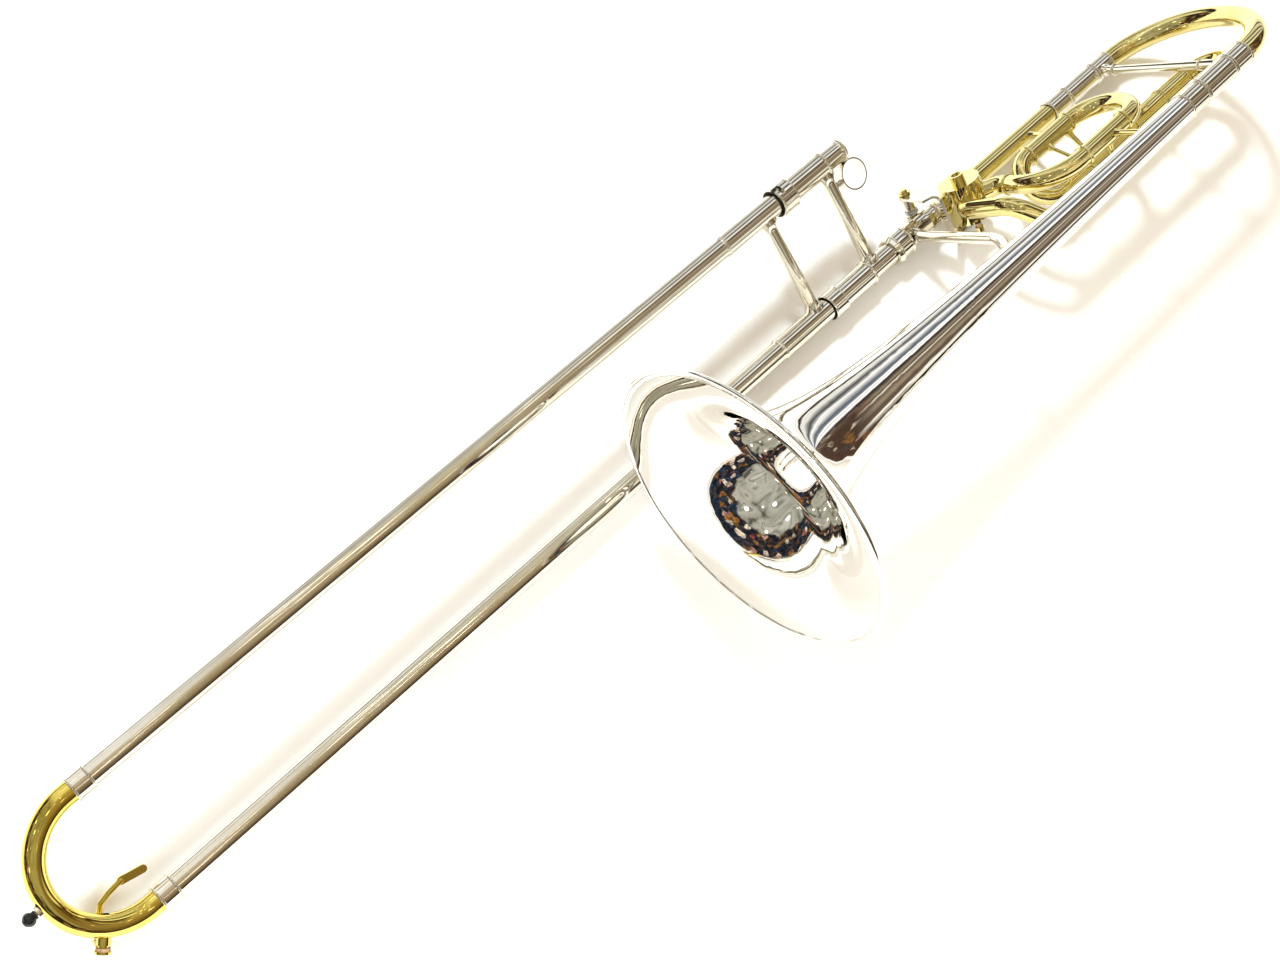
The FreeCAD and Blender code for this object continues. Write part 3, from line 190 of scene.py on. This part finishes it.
BY_SLOT = {
    "silver_bell": SILVER,
    "nickel_silver": NICKEL,
    "chromed_tube": CHROME,
    "yellow_brass": BRASS,
    "spring_steel": STEEL,
    "cork": CORK,
    "black_rubber": RUBBER,
}
BY_NODE = {
    "barrel_corks": FELT,
    "rotor": BARE_BRASS,
    "leadpipe": BARE_BRASS,
    "rotor_bearing_plate": BARE_BRASS,
    "slide_bow": GOLD_BRASS,
    "water_key": GOLD_BRASS,
    "water_nipple": GOLD_BRASS,
    "water_key_saddle": GOLD_BRASS,
}

for part in frame["record"]["subparts"]:
    node_name = part["node"]
    materials = nodes[node_name].data.materials
    materials.clear()
    materials.append(BY_NODE.get(node_name, BY_SLOT[part["material_slot"]]))


# ---- Felt in the collars' mouths -----------------------------------------------------------------

FELT_SIDES = 96
FELT_BORE = 0.0088      # clear of the grip sleeve that passes through it
FELT_DEPTH = 0.0019     # of the ring's back below the collar's rim
FELT_EDGE = 0.0004      # bevel, and how far the ring's front lies below the rim
LOWER_FELT_RADIUS = 0.0097
LOCK_FELT_RADIUS = 0.0105


def lathed(name, body, centre, outline, material):
    """Ring turned about a line along X: the outline is (x, radius) round a closed section."""
    verts = []
    for side in range(FELT_SIDES):
        angle = 2 * math.pi * side / FELT_SIDES
        for x, radius in outline:
            verts.append((x, centre[0] + radius * math.cos(angle), centre[1] + radius * math.sin(angle)))
    count = len(outline)
    faces = []
    for side in range(FELT_SIDES):
        here = side * count
        there = (side + 1) % FELT_SIDES * count
        for step in range(count):
            after = (step + 1) % count
            faces.append((here + step, there + step, there + after, here + after))
    mesh = bpy.data.meshes.new(name)
    mesh.from_pydata(verts, [], faces)
    mesh.validate()
    mesh.materials.append(material)
    for polygon in mesh.polygons:
        polygon.use_smooth = True
    piece = bpy.data.objects.new(name, mesh)
    bpy.context.scene.collection.objects.link(piece)
    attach(piece, body)


def mouth_felt(name, body, rim, centre, outer):
    """Felt ring that lines the mouth of a collar, a little inside its rim."""
    back = rim - FELT_DEPTH
    shoulder = rim - 2 * FELT_EDGE
    front = rim - FELT_EDGE
    outline = [(back, FELT_BORE), (shoulder, FELT_BORE), (front, FELT_BORE + FELT_EDGE),
               (front, outer - FELT_EDGE), (shoulder, outer), (back, outer)]
    lathed(name, body, centre, outline, FELT)


def axis_along_x(node):
    """Y and Z of the line that a round node is turned about."""
    low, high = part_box(node)
    return (low.y + high.y) / 2, (low.z + high.z) / 2


barrel_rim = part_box("cork_barrels")[1].x
lock_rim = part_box("slide_lock")[1].x
mouth_felt("lower_mouth_felt", "inner_slide", barrel_rim, axis_along_x("neck_nut"), LOWER_FELT_RADIUS)
mouth_felt("lock_mouth_felt", "slide_lock", lock_rim, axis_along_x("slide_lock"), LOCK_FELT_RADIUS)


# ---- Reflected surroundings ----------------------------------------------------------------------
# A way out of the object is a unit vector x, y, z. Its turn about the long axis goes from 0 at the
# horizon on the -Y side, over the top at 0.5, to 1 at the horizon on the +Y side.

AMBIENT = (0.75, 0.65, 0.52)
FLOOR_SHINE = (1.0, 0.99, 0.97)

# Light and dark bands about the long axis, seen towards -X.
BANDS = [
    (0.00, (0.02, 0.02, 0.02)), (0.025, (0.05, 0.045, 0.04)), (0.04, (0.80, 0.79, 0.74)),
    (0.09, (0.95, 0.95, 0.92)), (0.13, (0.28, 0.28, 0.27)), (0.17, (0.10, 0.10, 0.11)),
    (0.20, (0.34, 0.35, 0.36)), (0.24, (1.20, 1.20, 1.20)), (0.29, (0.50, 0.51, 0.52)),
    (0.34, (0.09, 0.11, 0.15)), (0.385, (0.33, 0.38, 0.44)), (0.41, (1.25, 1.25, 1.25)),
    (0.455, (1.10, 1.08, 1.05)), (0.48, (0.02, 0.02, 0.03)), (0.51, (0.08, 0.06, 0.05)),
    (0.55, (0.30, 0.24, 0.17)), (0.60, (0.10, 0.07, 0.045)), (0.62, (0.90, 0.84, 0.72)),
    (0.64, (0.20, 0.15, 0.10)), (0.72, (0.33, 0.27, 0.19)), (0.79, (0.14, 0.10, 0.07)),
    (0.83, (0.10, 0.07, 0.05)), (0.86, (1.05, 1.02, 0.92)), (0.89, (0.60, 0.55, 0.45)),
    (0.92, (0.10, 0.07, 0.05)), (0.97, (0.04, 0.03, 0.02)), (1.0, (0.02, 0.02, 0.02)),
]
# Quieter tones about the long axis, seen between the two ends.
SIDE = [
    (0.00, (0.02, 0.02, 0.025)), (0.03, (0.04, 0.04, 0.045)), (0.05, (0.55, 0.56, 0.58)),
    (0.12, (0.80, 0.80, 0.78)), (0.17, (0.30, 0.29, 0.28)), (0.22, (0.52, 0.51, 0.46)),
    (0.35, (0.62, 0.59, 0.48)), (0.50, (0.58, 0.51, 0.36)), (0.65, (0.42, 0.34, 0.22)),
    (0.78, (0.30, 0.23, 0.14)), (0.88, (0.19, 0.14, 0.08)), (0.95, (0.05, 0.03, 0.02)),
    (1.0, (0.02, 0.015, 0.01)),
]
# Things on shelves: mostly dark, with a few coloured or pale ones.
GOODS = [
    (0.0, (0.015, 0.018, 0.03)), (0.52, (0.03, 0.03, 0.04)), (0.60, (0.02, 0.05, 0.10)),
    (0.74, (0.08, 0.05, 0.035)), (0.86, (0.42, 0.20, 0.06)), (0.90, (0.05, 0.04, 0.03)),
    (0.93, (0.9, 0.85, 0.75)), (1.0, (0.30, 0.05, 0.04)),
]
CEILING = [
    (0.30, (0.10, 0.10, 0.08)), (0.40, (0.36, 0.35, 0.29)), (0.52, (0.50, 0.49, 0.42)),
    (0.58, (0.22, 0.22, 0.18)), (0.64, (0.55, 0.54, 0.47)),
]
STREAKS = [(0.34, (0.55, 0.52, 0.50)), (0.50, WHITE), (0.66, (1.25, 1.25, 1.25))]
GRAIN = [(0.42, (0.02, 0.02, 0.02)), (0.62, (1.6, 1.45, 1.2))]
BULB = [(0.12, (5.0, 4.8, 4.4)), (0.17, BLACK)]
CEILING_LAMP = [(0.09, (6.0, 5.8, 5.4)), (0.15, BLACK)]
SHEET_TURN = [(0.04, BLACK), (0.07, WHITE), (0.44, WHITE), (0.49, BLACK)]

# Where each part begins and is full, as a ramp position.
SIGNED = 0.5                # added to x or y first, because a ramp starts at 0
SHEET_X = (0.24, 0.40)      # of x + SIGNED
BULBS_Z = (0.62, 0.72)      # of z
BANDS_X = (0.36, 0.50)      # of -x
CORNER_X = (0.74, 0.82)     # of -x
CORNER_Y = (0.45, 0.60)     # of y + SIGNED
CEILING_Z = (0.42, 0.46)    # of z, made ragged
ROOM_X = (0.02, 0.14)       # of x
HORIZON_Z = 0.001


def swing(graph, value, reach):
    """Noise turned into a push of up to half the reach, either way."""
    return graph.math("MULTIPLY", graph.math("SUBTRACT", value, 0.5), reach)


def wavy_turn(graph, way, y, z):
    """Turn about the long axis, from 0 to 1, with edges that waver."""
    turn = graph.math("ADD", graph.math("DIVIDE", graph.math("ARCTAN2", y, z), math.pi), 0.5)
    return graph.math("ADD", turn, swing(graph, graph.noise(way, 3.0, Detail=2.0), 0.03))


def shelf_goods(graph, way):
    cells = graph.add("ShaderNodeTexVoronoi", Vector=way, Scale=13.0)
    hue = graph.add("ShaderNodeSeparateColor", Color=cells.outputs["Color"]).outputs[0]
    grain = graph.ramp(graph.noise(way, 24.0, Detail=4.0), GRAIN)
    return graph.mix(0.6, graph.ramp(hue, GOODS), grain, "MULTIPLY")


def streaked_bands(graph, turn):
    """Bands about the long axis, broken up by fine streaks."""
    lines = graph.add("ShaderNodeTexNoise", Scale=34.0, Detail=4.0, Roughness=0.7)
    lines.noise_dimensions = "1D"
    graph.link(turn, lines.inputs["W"])
    streaks = graph.ramp(lines.outputs["Fac"], STREAKS)
    return graph.mix(1.0, graph.ramp(turn, BANDS), streaks, "MULTIPLY")


def lamps(graph, way, scale, look):
    """Round lamps scattered over the surroundings, on black."""
    cells = graph.add("ShaderNodeTexVoronoi", Vector=way, Scale=scale)
    return graph.ramp(cells.outputs["Distance"], look)


def quiet_side(graph, way, turn, x, z):
    """The side, with a white sheet on its -Y half and bulbs high up."""
    sheet = graph.math("MULTIPLY", graph.ramp(turn, SHEET_TURN),
                       graph.rise(graph.math("ADD", x, SIGNED), *SHEET_X))
    side = graph.mix(sheet, graph.ramp(turn, SIDE), WHITE)
    bulbs = graph.mix(1.0, lamps(graph, way, 9.0, BULB), graph.rise(z, *BULBS_Z), "MULTIPLY")
    return graph.mix(1.0, side, bulbs, "ADD")


def room(graph, way, z, goods):
    """Shelves below a panelled ceiling with lamps, and a ragged edge between them."""
    panels = graph.ramp(graph.noise(way, 2.4, Detail=2.0, Distortion=1.0), CEILING)
    ceiling = graph.mix(1.0, panels, lamps(graph, way, 3.6, CEILING_LAMP), "ADD")
    height = graph.math("ADD", z, swing(graph, graph.noise(way, 5.0, Detail=5.0), 0.30))
    return graph.mix(graph.rise(height, *CEILING_Z), goods, ceiling)


def surroundings(graph):
    """What a polished surface mirrors: bands, quiet side, dark corner, room and bright floor."""
    way = graph.add("ShaderNodeTexCoord").outputs["Generated"]
    x, y, z = graph.add("ShaderNodeSeparateXYZ", Vector=way).outputs
    back = graph.math("MULTIPLY", x, -1.0)
    turn = wavy_turn(graph, way, y, z)
    goods = shelf_goods(graph, way)

    seen = graph.mix(graph.rise(back, *BANDS_X), quiet_side(graph, way, turn, x, z),
                     streaked_bands(graph, turn))
    corner = graph.math("MULTIPLY", graph.rise(back, *CORNER_X),
                        graph.rise(graph.math("ADD", y, SIGNED), *CORNER_Y))
    dim_goods = graph.mix(0.45, (0.07, 0.04, 0.02), goods)
    seen = graph.mix(corner, seen, graph.mix(1.0, dim_goods, (0.03, 0.015, 0.008), "ADD"))
    seen = graph.mix(graph.rise(x, *ROOM_X), seen, room(graph, way, z, goods))
    under = graph.ramp(z, [(0.0, WHITE), (HORIZON_Z, BLACK)])
    return graph.mix(under, seen, FLOOR_SHINE)


def studio_world():
    """White to the camera, even light for matte surfaces, and the surroundings for reflections."""
    world = bpy.data.worlds.new("studio")
    bpy.context.scene.world = world
    world.use_nodes = True
    world.node_tree.nodes.clear()
    graph = Graph(world.node_tree)
    ray = graph.add("ShaderNodeLightPath")
    shown = graph.mix(ray.outputs["Is Diffuse Ray"], surroundings(graph), AMBIENT)
    shown = graph.mix(ray.outputs["Is Camera Ray"], shown, WHITE)
    background = graph.add("ShaderNodeBackground", Color=shown, Strength=1.0)
    output = graph.add("ShaderNodeOutputWorld")
    graph.link(background.outputs[0], output.inputs[0])


# ---- Floor, lights and camera --------------------------------------------------------------------

FLOOR_HALF = 4.0
EXPOSURE = 0.15

# Where the camera stands, and the three ways of its picture.
EYE = Vector((0.62032, 0.19646, 1.18631))
RIGHT = Vector((-0.68089, 0.71312, 0.16685))
DOWN = Vector((0.60299, 0.67515, -0.42493))
FORWARD = Vector((-0.41568, -0.18871, -0.88971))
SENSOR_WIDTH = 36.0
LENS = 54.1


def area_light(name, place, aim, size, power, color):
    """Round soft light that shows in no reflection."""
    light = bpy.data.lights.new(name, "AREA")
    light.shape = "DISK"
    light.size = size
    light.energy = power
    light.color = color
    holder = bpy.data.objects.new(name, light)
    holder.location = place
    holder.rotation_euler = (Vector(aim) - Vector(place)).to_track_quat("-Z", "Y").to_euler()
    holder.visible_glossy = False
    bpy.context.scene.collection.objects.link(holder)


def pale_floor():
    """Matte white sheet under the instrument."""
    mesh = bpy.data.meshes.new("floor")
    corners = [(-FLOOR_HALF, -FLOOR_HALF, 0), (FLOOR_HALF, -FLOOR_HALF, 0),
               (FLOOR_HALF, FLOOR_HALF, 0), (-FLOOR_HALF, FLOOR_HALF, 0)]
    mesh.from_pydata(corners, [], [(0, 1, 2, 3)])
    floor = bpy.data.objects.new("floor", mesh)
    bpy.context.scene.collection.objects.link(floor)
    material, graph, shader, place = new_material("white_sheet")
    shade = graph.ramp(graph.noise(place, 3.0, Detail=3.0),
                       [(0.3, (0.93, 0.925, 0.915)), (0.7, (0.95, 0.948, 0.94))])
    graph.link(shade, shader.inputs["Base Color"])
    shader.inputs["Roughness"].default_value = 0.9
    mesh.materials.append(material)


def camera():
    """Camera above the bell side, looking down at about 62 degrees."""
    data = bpy.data.cameras.new("camera")
    data.sensor_width = SENSOR_WIDTH
    data.lens = LENS
    holder = bpy.data.objects.new("camera", data)
    bpy.context.scene.collection.objects.link(holder)
    turn = Matrix((RIGHT, -DOWN, -FORWARD)).transposed()
    holder.matrix_world = Matrix.Translation(EYE) @ turn.to_4x4()
    bpy.context.scene.camera = holder


studio_world()
pale_floor()
area_light("key", place=(-0.55, -1.9, 2.4), aim=(-0.2, 0.0, 0.0), size=0.55, power=90.0,
           color=(0.80, 0.93, 1.0))
area_light("fill", place=(0.75, 0.60, 0.70), aim=(0.22, 0.20, 0.0), size=0.5, power=9.0,
           color=(0.92, 0.96, 1.0))
camera()
view = bpy.context.scene.view_settings
view.view_transform = "Standard"
view.look = "None"
view.exposure = EXPOSURE
